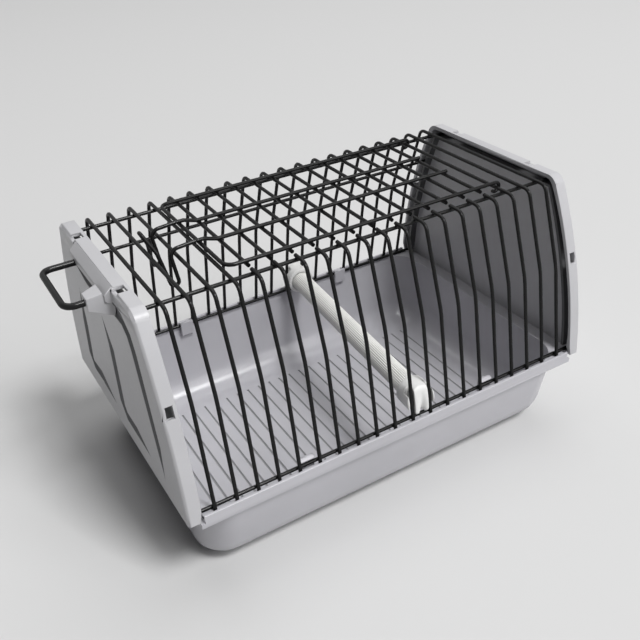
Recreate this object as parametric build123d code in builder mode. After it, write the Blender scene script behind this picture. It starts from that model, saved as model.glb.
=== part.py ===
from build123d import *
import os
from math import atan2, cos, pi, radians, sin, tan

# Small bird transport cage, in millimetres. X runs along the cage, -Y is its front, Z is up.
# The origin is the middle of the tray's underside.

# Wire cage
wire_d = 2.0
wire_pitch = 11.5
wire_count = 20
foot_depth = 158.0
kink_depth = 139.0
kink_height = 54.0
roof_depth = 109.0
roof_height = 97.5
roof_bend_r = 5.0
rail_lift = 0.2
wire_sides = 8
bend_step = 25.0
shortest_run = 0.01
mid_rail_height = 72.6
top_rail_inset = 8.5

# Roof door
door_first = 5
door_last = 17
door_frame_inset = 5.3
door_corner_r = 5.0
door_bar_overhang = 1.5
stay_spacing = 24.8
hinge_clearance = 0.5

# Sprung latch
latch_gap = 0.4
latch_drop = 15.4
latch_tab_rise = 13.4
latch_tab_reach = 14.0
latch_bend_r = 2.5
latch_shoulder_r = 4.0
latch_hook_r = 1.9
latch_hook_width = 4.2
latch_hook_bulge = 0.6
latch_leg_reach = 7.6
latch_side_clearance = 0.9

# Moulded tray
tray_depth = 48.8
tray_wall = 2.0
tray_wall_slant = 2.4
tub_length = 230.0
tub_bottom_depth = 141.5
tub_seat = 1.5
tub_corner_r = 18.0
tub_floor_r = 15.5
floor_runs = 4
corner_runs = 8
rim_thickness = 2.0
rim_skirt = 5.8
rim_drop = 0.3
lip_height = 1.5
lip_wall = 1.4
rib_pitch = 7.75
rib_count = 27
rib_run = 102.0
rib_width = 0.7
rib_cut = 0.6
notch_width = 2.0
notch_depth = 6.0
notch_drop = 3.0

# Rail clips moulded on the tray
clip_width = 8.0
clip_wall = 1.6
clip_root = 5.0
clip_clearance = 0.3

# End panels
panel_gap = 8.75
panel_depth = 6.0
panel_wall = 2.2
panel_bottom_margin = 2.8
panel_middle_margin = 3.6
panel_top_margin = -1.0
panel_drop = 1.2
panel_rise = 101.2
panel_corner_r = 8.0
panel_edge = 1.2
panel_clearance = 0.3
window_spacing = 63.0
window_width = 6.0
window_depth = 2.4
window_dip = 1.2
side_window_height = 56.5
groove_width = 4.6
groove_cut = 1.3
groove_slope = 50.0

# Centre line of each groove from tip to tip, across the panel and up from the tray's top
groove_lines = [
    [(36, 86), (20, 85), (4, 85), (-21, 89), (-36, 89), (-43, 84), (-46, 77), (-55, 30), (-57, 9)],
    [(0, 70), (-4.5, 56), (-3, 20), (-7, 14.5), (-22, 13.5), (-38.5, 10)],
    [(39, 69), (44, 45), (49, 20), (46, 15.5), (31, 16), (12, 12.5)],
]

# Handle on the left panel
handle_d = 3.2
handle_width = 40.4
handle_reach = 19.5
handle_drop = 8.0
handle_bend_r = 5.0
boss_reach = 10.5
boss_width = 12.0
boss_height = 11.5
pad_reach = 3.0
pad_height = 9.0
pad_margin = 7.0
pad_slope = 15.0
boss_slope = 6.0
socket_clearance = 0.2

# Perch
perch_d = 12.0
flute_count = 20
flute_land = 0.5
flute_cut = 0.35
cap_d = 17.0
cap_length = 18.0
cap_socket = 4.5
cap_overhang = 7.2
cap_edge = 1.2
cap_arch_r = 2.4
cap_slot_run = 12.0
cap_slot_clearance = 0.5
cap_rail_clearance = 0.3
perch_front_wire = 11
perch_rear_wire = 12

# Places worked out from the sizes above
wire_r = wire_d / 2
rail_z = tray_depth + wire_r + rail_lift
kink_z = rail_z + kink_height
roof_z = rail_z + roof_height
foot_y = foot_depth / 2
kink_y = kink_depth / 2
roof_y = roof_depth / 2
cage_half = (wire_count - 1) / 2 * wire_pitch
panel_inner_x = cage_half + panel_gap
panel_outer_x = panel_inner_x + panel_depth
plate_inner_x = panel_outer_x - panel_wall
top_rail_y = roof_y - top_rail_inset
top_rail_z = roof_z - wire_d
stub_y = top_rail_y - wire_r
hinge_ring_r = wire_d + hinge_clearance
door_z = roof_z + hinge_ring_r
door_y = top_rail_y - door_frame_inset
door_bar_z = door_z - wire_d
stay_y = stay_spacing / 2
panel_bottom_y = foot_y + panel_bottom_margin
panel_middle_y = kink_y + panel_middle_margin
panel_top_y = roof_y + panel_top_margin


def wire_x(number):
    """Place of a cage wire along the cage, counted from the left."""
    return (number - (wire_count + 1) / 2) * wire_pitch


def wall_y(z):
    """Distance of a side wire's centre line from the middle plane, at a height."""
    if z < kink_z:
        return kink_y + (foot_y - kink_y) * (kink_z - z) / (kink_z - tray_depth)
    return roof_y + (kink_y - roof_y) * (roof_z - z) / (roof_z - kink_z)


def bent_wire(corners, bend_radii, flat_side, diameter=wire_d):
    """Wire along corner points, eight-sided, with each bend made of short straight runs.

    A turn that is too slight for a run of its own stays a plain corner.

    flat_side is the direction that one of its flats faces at the first corner.
    """
    corners = [Vector(*corner) for corner in corners]
    points = [corners[0]]
    for before, corner, after, radius in zip(corners, corners[1:], corners[2:], bend_radii):
        back = (before - corner).normalized()
        ahead = (after - corner).normalized()
        opening = back.get_angle(ahead)
        half_opening = radians(opening) / 2
        setback = radius / tan(half_opening)
        sagitta = radius / sin(half_opening) - radius
        arc = Edge.make_three_point_arc(
            corner + back * setback,
            corner + (back + ahead).normalized() * sagitta,
            corner + ahead * setback,
        )
        runs = round((180 - opening) / bend_step)
        points += [arc @ (run / runs) for run in range(runs + 1)] if runs else [corner]
    points.append(corners[-1])
    pairs = zip(points, points[1:])
    points = points[:1] + [end for start, end in pairs if (end - start).length > shortest_run]
    with BuildPart() as wire:
        with BuildLine() as centre:
            Polyline(*points)
        path = centre.wires()[0]
        with BuildSketch(Plane(origin=path @ 0, x_dir=flat_side, z_dir=path % 0)):
            RegularPolygon(diameter / 2, wire_sides, major_radius=False, rotation=180 / wire_sides)
        sweep(path=path, transition=Transition.RIGHT)
    return wire.part


def save(part, name):
    """Label a finished piece and write it as its own file."""
    part.label = name
    export_step(part, f"parts/{name}.step")


os.makedirs("parts", exist_ok=True)

# Cage wires: full hoops beside the door, and wires cut short in front of it and behind it
side_bends = [roof_bend_r, roof_bend_r]
lower_lean = atan2(foot_y - kink_y, kink_z - tray_depth)
upper_lean = atan2(kink_y - roof_y, roof_z - kink_z)
foot_z = tray_depth + wire_r * sin(lower_lean)


def side_corners(x, side):
    """Corner points of one side of a wire, from its foot up to the roof corner."""
    foot = (x, side * wall_y(foot_z), foot_z)
    return [foot, (x, side * kink_y, kink_z), (x, side * roof_y, roof_z)]


along = (1, 0, 0)
upward = (0, 0, 1)
rear_cut_wires = []
for number in range(1, wire_count + 1):
    x = wire_x(number)
    front = side_corners(x, -1)
    rear = side_corners(x, 1)
    if door_first <= number <= door_last:
        front_wire = bent_wire(front + [(x, -stub_y, roof_z)], side_bends, along)
        save(front_wire, f"front_wire_{number:02d}")
        rear_cut_wires.append(bent_wire(rear + [(x, stub_y, roof_z)], side_bends, along))
    else:
        hoop = bent_wire(front + rear[::-1], side_bends + side_bends[::-1], along)
        save(hoop, f"body_wire_{number:02d}")
save(Compound(children=rear_cut_wires), "rear_cut_wires")

# Long rails welded to the inside of the cage wires
bottom_rail_y = wall_y(rail_z) - wire_d / cos(lower_lean)
mid_rail_z = rail_z + mid_rail_height
mid_rail_y = wall_y(mid_rail_z) - wire_d / cos(upper_lean)
rail_places = {
    "front_bottom_rail": (-bottom_rail_y, rail_z, -lower_lean),
    "rear_bottom_rail": (bottom_rail_y, rail_z, lower_lean),
    "front_top_rail": (-top_rail_y, top_rail_z, 0),
    "rear_top_rail": (top_rail_y, top_rail_z, 0),
    "rear_middle_rail": (mid_rail_y, mid_rail_z, upper_lean),
}
for name, (y, z, lean) in rail_places.items():
    rail_ends = [(-plate_inner_x, y, z), (plate_inner_x, y, z)]
    save(bent_wire(rail_ends, [], (0, cos(lean), sin(lean))), name)

# Roof door frame: one U-shaped wire whose two ends curl round a cage wire as the hinge
hinge_x = wire_x(door_last + 1)
door_left_x = wire_x(door_first - 1) + wire_r
curl_end = hinge_ring_r * tan(radians(22.5))


def hinge_curl(side):
    """Corner points of an open eye round the hinge wire, from its free end to the top."""
    around = [
        (-curl_end - curl_end * cos(radians(45)), -hinge_ring_r + curl_end * sin(radians(45))),
        (-curl_end, -hinge_ring_r),
        (hinge_ring_r, -hinge_ring_r),
        (hinge_ring_r, hinge_ring_r),
    ]
    return [(hinge_x + along, side * door_y, roof_z + up) for along, up in around]


door_corners = [(door_left_x, door_y, door_z), (door_left_x, -door_y, door_z)]
curl_bends = 3 * [hinge_ring_r]
door_frame = bent_wire(
    hinge_curl(1) + door_corners + hinge_curl(-1)[::-1],
    curl_bends + 2 * [door_corner_r] + curl_bends,
    (0, 1, 0),
)
save(door_frame, "door_frame")

# Door cross bars under the frame, in line with the cut cage wires
bar_end_y = door_y + door_bar_overhang
for number in range(door_first, door_last + 1):
    x = wire_x(number)
    bar = bent_wire([(x, -bar_end_y, door_bar_z), (x, bar_end_y, door_bar_z)], [], upward)
    save(bar, f"door_bar_{number:02d}")

# Two long stays on the cross bars, which step up over the frame's left side
step_z = door_z + wire_d
stay_right_x = wire_x(door_last) + wire_r
step_right_x = wire_x(door_first) - wire_d
step_left_x = door_left_x + wire_d
stay_left_x = door_left_x - wire_d
for name, y in {"front_door_stay": -stay_y, "rear_door_stay": stay_y}.items():
    stay_corners = [
        (stay_right_x, y, door_z),
        (step_right_x, y, door_z),
        (step_left_x, y, step_z),
        (stay_left_x, y, step_z),
    ]
    save(bent_wire(stay_corners, 2 * [wire_d], upward), name)

# Spring latch: one loop that hooks under a cage wire and ends in a raised finger tab
catch_x = wire_x(door_first - 2)
latch_root_x = stay_left_x - latch_gap
latch_pass = wire_d + latch_side_clearance


def latch_arm(side):
    """Corner points of one latch arm, from its root on the door to the finger tab."""
    return [
        (latch_root_x, side * stay_y, step_z),
        (catch_x - latch_pass, side * stay_y, step_z - wire_r),
        (catch_x - latch_pass, side * stay_y, roof_z - wire_r),
        (catch_x - latch_hook_bulge, side * stay_y, roof_z - latch_drop),
        (catch_x - latch_hook_bulge - latch_hook_width, side * stay_y, roof_z - latch_drop),
        (catch_x - latch_leg_reach, side * stay_y / 2, roof_z + wire_r / 2),
    ]


tab_tip = (catch_x - latch_tab_reach, 0, roof_z + latch_tab_rise)
latch_bends = [latch_shoulder_r, 2 * latch_shoulder_r, latch_hook_r, latch_hook_r, 2 * latch_shoulder_r]
latch = bent_wire(
    latch_arm(1) + [tab_tip] + latch_arm(-1)[::-1],
    latch_bends + [latch_bend_r] + latch_bends[::-1],
    (0, 1, 0),
)
save(latch, "latch_loop")

# Tray: a deep tub with slanting long walls, hung from a rim that carries the cage
rim_end_x = panel_inner_x - panel_clearance
tongue_x = plate_inner_x - panel_clearance
tongue_y = panel_bottom_y - panel_wall - panel_clearance
rim_y = panel_bottom_y - rim_drop
clip_x = abs(wire_x(door_first)) - wire_pitch / 2
tub_top_y = foot_y + tub_seat
slant = (tub_top_y - tub_bottom_depth / 2) / tray_depth


def rounded_rectangle(length, depth, corner_r):
    """Rectangle with each corner rounded in short straight runs."""
    points = []
    for x_side, y_side, start in ((1, 1, 0), (-1, 1, 90), (-1, -1, 180), (1, -1, 270)):
        centre_x = x_side * (length / 2 - corner_r)
        centre_y = y_side * (depth / 2 - corner_r)
        for run in range(corner_runs + 1):
            turn = radians(start + 90 * run / corner_runs)
            points.append((centre_x + corner_r * cos(turn), centre_y + corner_r * sin(turn)))
    with BuildSketch() as outline:
        with BuildLine():
            Polyline(*points, close=True)
        make_face()
    return outline.sketch


def tub(inset, side_inset, bottom_z, corner_r, floor_r):
    """Solid tub whose long walls lean out, with its floor edge rounded in straight runs."""
    with BuildPart() as body:
        for run in range(floor_runs + 1):
            turn = radians(90 * run / floor_runs)
            z = bottom_z + floor_r * (1 - cos(turn))
            draw_in = floor_r * (1 - sin(turn))
            length = tub_length - 2 * inset - 2 * draw_in
            depth = tub_bottom_depth + 2 * slant * z - 2 * side_inset - 2 * draw_in
            with BuildSketch(Plane.XY.offset(z)):
                add(rounded_rectangle(length, depth, corner_r - draw_in))
        with BuildSketch(Plane.XY.offset(tray_depth)):
            top_depth = 2 * tub_top_y - 2 * side_inset
            add(rounded_rectangle(tub_length - 2 * inset, top_depth, corner_r))
        loft(ruled=True)
    return body.part


with BuildPart() as tray:
    with BuildSketch(Plane.XY.offset(tray_depth - rim_skirt)):
        Rectangle(2 * rim_end_x, 2 * rim_y)
    extrude(amount=rim_skirt)
    with BuildSketch(Plane.XY.offset(tray_depth - rim_skirt)):
        Rectangle(2 * (rim_end_x - rim_thickness), 2 * (rim_y - rim_thickness))
    extrude(amount=rim_skirt - rim_thickness, mode=Mode.SUBTRACT)
    with BuildSketch(Plane.XY.offset(tray_depth - rim_thickness)):
        Rectangle(2 * tongue_x, 2 * tongue_y)
    extrude(amount=rim_thickness)
    add(tub(0, 0, 0, tub_corner_r, tub_floor_r))
    with BuildSketch(Plane.XY.offset(tray_depth)):
        with Locations((0, rim_y - lip_wall / 2), (0, lip_wall / 2 - rim_y)):
            Rectangle(2 * rim_end_x, lip_wall)
    extrude(amount=lip_height)
    inner_tub = tub(tray_wall, tray_wall_slant, tray_wall, tub_corner_r - tray_wall, tub_floor_r - tray_wall)
    add(inner_tub, mode=Mode.SUBTRACT)
    with BuildSketch(Plane.XY.offset(tray_depth - notch_drop)):
        with GridLocations(2 * rim_end_x - notch_width, 2 * rim_y - notch_depth, 2, 2):
            Rectangle(notch_width, notch_depth)
    extrude(amount=notch_drop + lip_height, mode=Mode.SUBTRACT)
    with BuildSketch(Plane.XY.offset(tray_wall - rib_cut)):
        with GridLocations(rib_pitch, 1, rib_count, 1):
            Rectangle(rib_width, rib_run)
    extrude(amount=rib_cut, mode=Mode.SUBTRACT)
    clip_outer_y = bottom_rail_y - wire_r - clip_clearance
    clip_inner_y = clip_outer_y - clip_wall
    clip_root_y = tub_top_y - tray_wall_slant / 2
    hook_z = rail_z + wire_r + clip_clearance
    for side in (-1, 1):
        for x in (-clip_x, clip_x):
            with BuildSketch(Plane.YZ.offset(x - clip_width / 2)):
                with BuildLine():
                    Polyline(
                        (side * clip_root_y, tray_depth - rim_thickness),
                        (side * clip_outer_y, tray_depth - rim_thickness),
                        (side * clip_outer_y, hook_z),
                        (side * bottom_rail_y, hook_z),
                        (side * bottom_rail_y, hook_z + clip_wall / 2),
                        (side * clip_outer_y, hook_z + clip_wall),
                        (side * clip_inner_y, hook_z + clip_wall),
                        (side * clip_inner_y, tray_depth - clip_root),
                        (side * (clip_root_y - slant * clip_root), tray_depth - clip_root),
                        close=True,
                    )
                make_face()
            extrude(amount=clip_width)
save(tray.part, "tray")


def panel_outline(inset, corner_r):
    """Outline of an end panel, drawn in by an inset on its top and sides."""
    bottom_z = tray_depth - panel_drop
    top_z = tray_depth + panel_rise - inset
    middle_z = tray_depth + panel_rise / 2
    bottom_y = panel_bottom_y - inset
    middle_y = panel_middle_y - inset
    top_y = panel_top_y - inset
    with BuildSketch() as outline:
        with BuildLine():
            Line((-bottom_y, bottom_z), (bottom_y, bottom_z))
            ThreePointArc((bottom_y, bottom_z), (middle_y, middle_z), (top_y, top_z))
            Line((top_y, top_z), (-top_y, top_z))
            ThreePointArc((-top_y, top_z), (-middle_y, middle_z), (-bottom_y, bottom_z))
        make_face()
        fillet(outline.vertices().group_by(Axis.Y)[-1], corner_r)
    return outline.sketch


def groove_outline(line):
    """Outline of a groove of even width along a centre line, pointed at both tips."""
    line = [Vector(y, tray_depth + up) for y, up in line]
    near_side = []
    far_side = []
    for before, point, after in zip(line, line[1:], line[2:]):
        across = (after - before).normalized().rotate(Axis.Z, 90) * groove_width / 2
        near_side.append(point + across)
        far_side.append(point - across)
    with BuildSketch() as outline:
        with BuildLine():
            Polyline(line[0], *near_side, line[-1], *reversed(far_side), close=True)
        make_face()
    return outline.sketch


# End panels: a plate with a turned-in edge, snap windows in that edge and three nested grooves
panel_top_z = tray_depth + panel_rise
window_x = window_depth / 2 - plate_inner_x
side_window_z = rail_z + side_window_height
side_y = wall_y(side_window_z) + panel_middle_margin
top_windows = [(side * window_spacing / 2, panel_top_z) for side in (-1, 1)]
side_windows = [(side * side_y, side_window_z) for side in (-1, 1)]
with BuildPart() as plain_panel:
    with BuildSketch(Plane.YZ.offset(-panel_outer_x)):
        add(panel_outline(0, panel_corner_r))
    extrude(amount=panel_depth)
    outer_face = plain_panel.faces().sort_by(Axis.X)[0]
    chamfer(outer_face.edges().sort_by(Axis.Z)[1:], panel_edge)
    with BuildSketch(Plane.YZ.offset(-plate_inner_x)):
        add(panel_outline(panel_wall, panel_corner_r - panel_wall))
    extrude(amount=panel_depth, mode=Mode.SUBTRACT)
    for y, z in top_windows:
        with Locations((window_x, y, z)):
            Box(window_depth, window_width, 3 * panel_wall, mode=Mode.SUBTRACT)
        with Locations((-panel_outer_x, y, z)):
            Box(2 * panel_wall, window_width, 2 * window_dip, mode=Mode.SUBTRACT)
    for y, z in side_windows:
        with Locations((window_x, y, z)):
            Box(window_depth, 4 * panel_wall, window_width, mode=Mode.SUBTRACT)
        with Locations((-panel_outer_x, y, z)):
            Box(2 * panel_wall, 2 * window_dip, window_width, mode=Mode.SUBTRACT)
    for line in groove_lines:
        with BuildSketch(Plane.YZ.offset(-panel_outer_x)):
            add(groove_outline(line))
        extrude(amount=groove_cut, taper=groove_slope, mode=Mode.SUBTRACT)
save(plain_panel.part.mirror(Plane.YZ), "right_end_panel")

# The left panel also carries a pad and a boss with two blind holes for the handle
handle_z = panel_top_z - handle_drop
leg_y = handle_width / 2
leg_end_x = -plate_inner_x - panel_wall / 2
hole_r = handle_d / 2 + socket_clearance
pad_depth = pad_reach + panel_wall / 2
boss_depth = boss_reach + panel_wall / 2
with BuildPart() as left_end_panel:
    add(plain_panel.part)
    with BuildSketch(Plane.YZ.offset(leg_end_x)):
        with Locations((0, panel_top_z - pad_height / 2)):
            Rectangle(handle_width + 2 * pad_margin, pad_height)
    extrude(amount=-pad_depth, taper=pad_slope)
    with BuildSketch(Plane.YZ.offset(leg_end_x)):
        with Locations((-leg_y, handle_z)):
            Rectangle(boss_width, boss_height)
    extrude(amount=-boss_depth, taper=boss_slope)
    with BuildSketch(Plane.YZ.offset(leg_end_x)):
        with Locations((-leg_y, handle_z), (leg_y, handle_z)):
            Circle(hole_r)
    extrude(amount=-boss_depth, mode=Mode.SUBTRACT)
save(left_end_panel.part, "left_end_panel")

# Wire handle, pushed into the two holes
handle_x = -panel_outer_x - handle_reach
handle_corners = [
    (leg_end_x, -leg_y, handle_z),
    (handle_x, -leg_y, handle_z),
    (handle_x, leg_y, handle_z),
    (leg_end_x, leg_y, handle_z),
]
save(bent_wire(handle_corners, 2 * [handle_bend_r], upward, handle_d), "end_handle")

# Perch: a fluted rod set a little askew, pushed into two caps that grip the cage wires
perch_front_x = (wire_x(perch_front_wire) + wire_x(perch_front_wire + 1)) / 2
perch_rear_x = (wire_x(perch_rear_wire) + wire_x(perch_rear_wire + 1)) / 2
perch_x = (perch_front_x + perch_rear_x) / 2
perch_z = rail_z + wire_r + cap_rail_clearance + cap_d / 2
grip_y = wall_y(perch_z)
perch_skew = atan2(perch_rear_x - perch_front_x, 2 * grip_y)
cap_end = grip_y / cos(perch_skew) + cap_overhang
rod_end = cap_end - cap_length + cap_socket
rod_axis = Vector(sin(perch_skew), cos(perch_skew), 0)
rod_side = Vector(cos(perch_skew), -sin(perch_skew), 0)
perch_middle = Vector(perch_x, 0, perch_z)
flute_points = []
for flute in range(flute_count):
    flute_points.append((flute, perch_d / 2 - flute_cut))
    flute_points.append((flute + (1 - flute_land) / 2, perch_d / 2))
    flute_points.append((flute + (1 + flute_land) / 2, perch_d / 2))
rod_outline = [
    (radius * cos(turn * 2 * pi / flute_count), radius * sin(turn * 2 * pi / flute_count))
    for turn, radius in flute_points
]
with BuildPart() as perch_rod:
    with BuildSketch(Plane(origin=perch_middle - rod_axis * rod_end, x_dir=rod_side, z_dir=rod_axis)):
        with BuildLine():
            Polyline(*rod_outline, close=True)
        make_face()
    extrude(amount=2 * rod_end)
save(perch_rod.part, "perch_rod")

slot_offset = wire_pitch / 2 * cos(perch_skew)
for name, side in {"front_perch_cap": -1, "rear_perch_cap": 1}.items():
    outward = rod_axis * side
    across = rod_side * -side
    outer_end = perch_middle + outward * cap_end
    with BuildPart() as cap:
        with BuildSketch(Plane(origin=outer_end, x_dir=across, z_dir=outward)) as end_face:
            Circle(cap_d / 2)
        extrude(amount=-cap_length)
        chamfer(cap.edges().sort_by(Axis.Y)[-1 if side > 0 else 0], cap_edge)
        with BuildSketch(Plane(origin=outer_end, x_dir=across, z_dir=outward)):
            with Locations((-slot_offset, 0), (slot_offset, 0)):
                Rectangle(wire_d + 2 * cap_slot_clearance, cap_d)
            with Locations((0, -cap_d / 2)):
                Circle(cap_arch_r)
        extrude(amount=-cap_slot_run, mode=Mode.SUBTRACT)
        with BuildSketch(Plane(origin=outer_end - outward * cap_length, x_dir=across, z_dir=outward)):
            RegularPolygon(perch_d / 2 + socket_clearance, flute_count, major_radius=False)
        extrude(amount=cap_socket, mode=Mode.SUBTRACT)
    save(cap.part, name)
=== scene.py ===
# %% [markdown]
# # A travel cage for a small bird
#
# The cage has three families of parts. Two moulded end panels and a deep tray
# carry everything. Black coated wire makes the walls, the roof, the roof door,
# its spring latch and the handle. A fluted perch hangs between two white caps.
# The CAD model gives the sizes. This lesson dresses it: the wires are drawn again
# with round, smooth bends, the mouldings get soft edges, and each surface gets a
# finish with some history in it.

from math import atan2, copysign, cos, exp, hypot, pi, radians, sin

import bmesh
import bpy
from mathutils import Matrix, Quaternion, Vector


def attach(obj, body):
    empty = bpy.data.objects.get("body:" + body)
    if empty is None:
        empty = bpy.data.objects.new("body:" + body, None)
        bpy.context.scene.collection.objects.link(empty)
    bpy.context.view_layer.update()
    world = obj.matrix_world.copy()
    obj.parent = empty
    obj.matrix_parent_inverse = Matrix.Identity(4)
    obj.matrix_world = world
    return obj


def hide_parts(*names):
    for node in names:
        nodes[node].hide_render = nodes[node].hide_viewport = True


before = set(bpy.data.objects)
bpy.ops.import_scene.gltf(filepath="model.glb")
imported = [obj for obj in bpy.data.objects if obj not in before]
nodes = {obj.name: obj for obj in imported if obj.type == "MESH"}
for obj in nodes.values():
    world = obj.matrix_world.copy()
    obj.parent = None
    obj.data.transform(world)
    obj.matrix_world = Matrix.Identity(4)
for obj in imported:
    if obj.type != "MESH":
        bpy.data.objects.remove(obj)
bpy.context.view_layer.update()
MM = 0.001

# %% [markdown]
# ## Camera
# The photograph was taken from the front left, well above the roof, with a normal
# lens. Its place was found from the even spacing of the wires, so it is written here
# as a position, a direction and a small roll.

# %% Set the camera
camera_data = bpy.data.cameras.new("camera")
camera = bpy.data.objects.new("camera", camera_data)
bpy.context.scene.collection.objects.link(camera)
camera_place = Vector((-195.07, -334.91, 322.64)) * MM
camera_direction = Vector((0.41833, 0.72876, -0.54213))
camera_roll = radians(2.72)
lens_mm, film_mm = 44.63, 36.0
camera.location = camera_place
turn = camera_direction.to_track_quat("-Z", "Y") @ Quaternion((0, 0, 1), -camera_roll)
camera.rotation_euler = turn.to_euler()
camera_data.sensor_width = film_mm
camera_data.lens = lens_mm
camera_data.clip_start = 10 * MM
bpy.context.scene.camera = camera
print("camera at", tuple(round(v, 3) for v in camera_place), "m with a", lens_mm, "mm lens")

# %% [markdown]
# ## Node tools
# A material is a small network of nodes, and short helpers keep the cells readable. One
# adds a node and sets its inputs. The others make a noise, stretch a value's range,
# blend two colours or raise the surface, and each links what it makes.


# %% Define the network helpers
def add_node(tree, kind, inputs=None, **settings):
    """Add a node, set its properties, then its unlinked inputs by name or number."""
    node = tree.nodes.new(kind)
    for name, value in settings.items():
        setattr(node, name, value)
    for name, value in (inputs or {}).items():
        node.inputs[name].default_value = value
    return node


def new_material(name, shader_inputs):
    """A material with a Principled shader and object coordinates ready to use."""
    material = bpy.data.materials.new(name)
    material.use_nodes = True
    tree = material.node_tree
    shader = tree.nodes["Principled BSDF"]
    for socket, value in shader_inputs.items():
        shader.inputs[socket].default_value = value
    place = add_node(tree, "ShaderNodeTexCoord").outputs["Object"]
    return material, tree, shader, place


def noise(tree, place, scale, detail=3.0, roughness=0.5, stretch=(1, 1, 1)):
    """Noise that may be stretched along an axis, read from object coordinates."""
    mapping = add_node(tree, "ShaderNodeMapping", {"Scale": stretch})
    tree.links.new(place, mapping.inputs["Vector"])
    pattern = add_node(
        tree, "ShaderNodeTexNoise", {"Scale": scale, "Detail": detail, "Roughness": roughness}
    )
    tree.links.new(mapping.outputs["Vector"], pattern.inputs["Vector"])
    return pattern.outputs["Fac"]


def remap(tree, value, low, high, to_low, to_high):
    """Stretch a part of a value's range to a new range."""
    node = add_node(
        tree,
        "ShaderNodeMapRange",
        {"From Min": low, "From Max": high, "To Min": to_low, "To Max": to_high},
    )
    tree.links.new(value, node.inputs["Value"])
    return node.outputs["Result"]


def mix_colours(tree, factor, first, second):
    """Blend two colours by a value."""
    node = add_node(tree, "ShaderNodeMix", data_type="RGBA")
    for socket, colour in (("A_Color", first), ("B_Color", second)):
        target = next(s for s in node.inputs if s.identifier == socket)
        if isinstance(colour, tuple):
            target.default_value = colour
        else:
            tree.links.new(colour, target)
    tree.links.new(factor, node.inputs["Factor"])
    return next(s for s in node.outputs if s.identifier == "Result_Color")


def bump(tree, shader, height, distance, strength=1.0, under=None):
    """Raise the surface by a height pattern; several can be stacked."""
    node = add_node(tree, "ShaderNodeBump", {"Distance": distance, "Strength": strength})
    tree.links.new(height, node.inputs["Height"])
    if under is not None:
        tree.links.new(under, node.inputs["Normal"])
    tree.links.new(node.outputs["Normal"], shader.inputs["Normal"])
    return node.outputs["Normal"]


# %% [markdown]
# ## Coated wire
# The wire is steel, welded into a grid and then dipped or sprayed black. The coat is
# glossy but never perfect: it flows into soft waves and its tone and gloss vary. One
# plain black would look like a drawing, so one noise moves tone and roughness, one lifts
# the normal a little, and a third makes small rubbed spots a shade greyer.


# %% Make the black coating
def coated_wire(name, tone):
    """A dipped black coat: patches of tone and gloss, rubbed spots and soft waves."""
    patch_scale, rub_scale, wave_scale = 90.0, 340.0, 260.0
    rubbed_grey = (0.05, 0.05, 0.052, 1)
    material, tree, shader, place = new_material(
        name, {"Coat Weight": 0.3, "Coat Roughness": 0.05, "Specular IOR Level": 0.1}
    )
    patches = noise(tree, place, patch_scale, detail=4.0)
    lighter = (tone * 1.5, tone * 1.5, tone * 1.6, 1)
    colour = mix_colours(tree, patches, (tone, tone, tone, 1), lighter)
    spots = noise(tree, place, rub_scale, detail=5.0, roughness=0.65)
    rubs = remap(tree, spots, low=0.64, high=0.78, to_low=0, to_high=0.3)
    tree.links.new(mix_colours(tree, rubs, colour, rubbed_grey), shader.inputs["Base Color"])
    gloss = remap(tree, patches, low=0.3, high=0.7, to_low=0.5, to_high=0.65)
    tree.links.new(gloss, shader.inputs["Roughness"])
    flow = noise(tree, place, wave_scale, detail=2.0)
    bump(tree, shader, flow, distance=0.1 * MM, strength=0.5)
    return material


cage_black = coated_wire("black coated wire", 0.002)
handle_black = coated_wire("black coated handle", 0.003)
print("wire finishes:", cage_black.name, "and", handle_black.name)


# %% [markdown]
# ## Moulded plastic
# Tray and panels come out of a polished mould in light grey. A real moulding shows a
# faint cloudiness, an almost invisible orange peel and fine wear from use. An image
# could give all that, but noises at three scales fit any face without a seam. The shade
# in the grooves and inside the panels' turned-in edges is painted as darker, duller
# finishes of the same kind.


# %% Make the moulded plastics
def moulded_plastic(name, colour, roughness, scratch_axis=(1, 1, 1)):
    """A moulded surface: faint clouds in its tone, worn gloss and a trace of orange peel."""
    cloud_scale, wear_scale, peel_scale = 14.0, 420.0, 700.0
    material, tree, shader, place = new_material(name, {"Specular IOR Level": 0.45})
    clouds = noise(tree, place, cloud_scale, detail=4.0)
    light = tuple(c * 1.04 for c in colour) + (1,)
    dark = tuple(c * 0.94 for c in colour) + (1,)
    cloudiness = remap(tree, clouds, low=0.35, high=0.65, to_low=0, to_high=1)
    base = mix_colours(tree, cloudiness, dark, light)
    tree.links.new(base, shader.inputs["Base Color"])
    wear = noise(tree, place, wear_scale, detail=6.0, roughness=0.7, stretch=scratch_axis)
    shiny, dull = roughness * 0.9, roughness * 1.15
    gloss = remap(tree, wear, low=0.3, high=0.7, to_low=shiny, to_high=dull)
    tree.links.new(gloss, shader.inputs["Roughness"])
    peel = noise(tree, place, peel_scale, detail=2.0)
    peeled = bump(tree, shader, peel, distance=0.03 * MM, strength=0.2)
    bump(tree, shader, wear, distance=0.01 * MM, strength=0.15, under=peeled)
    return material


tray_grey = moulded_plastic("light grey tray plastic", (0.475, 0.47, 0.50), 0.24)
panel_grey = moulded_plastic("light grey panel plastic", (0.475, 0.473, 0.49), 0.36)
# painted shade: this dark grey stands for the shade that falls in the panel grooves
groove_shade_grey = moulded_plastic("painted shade in the panel grooves", (0.11, 0.11, 0.115), 0.6)
# painted shade: a near-black finish for the inner walls that stands for the shade in the panels'
# channels
wall_shade_grey = moulded_plastic("painted shade on the inner walls", (0.07, 0.0705, 0.073), 0.45)
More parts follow.
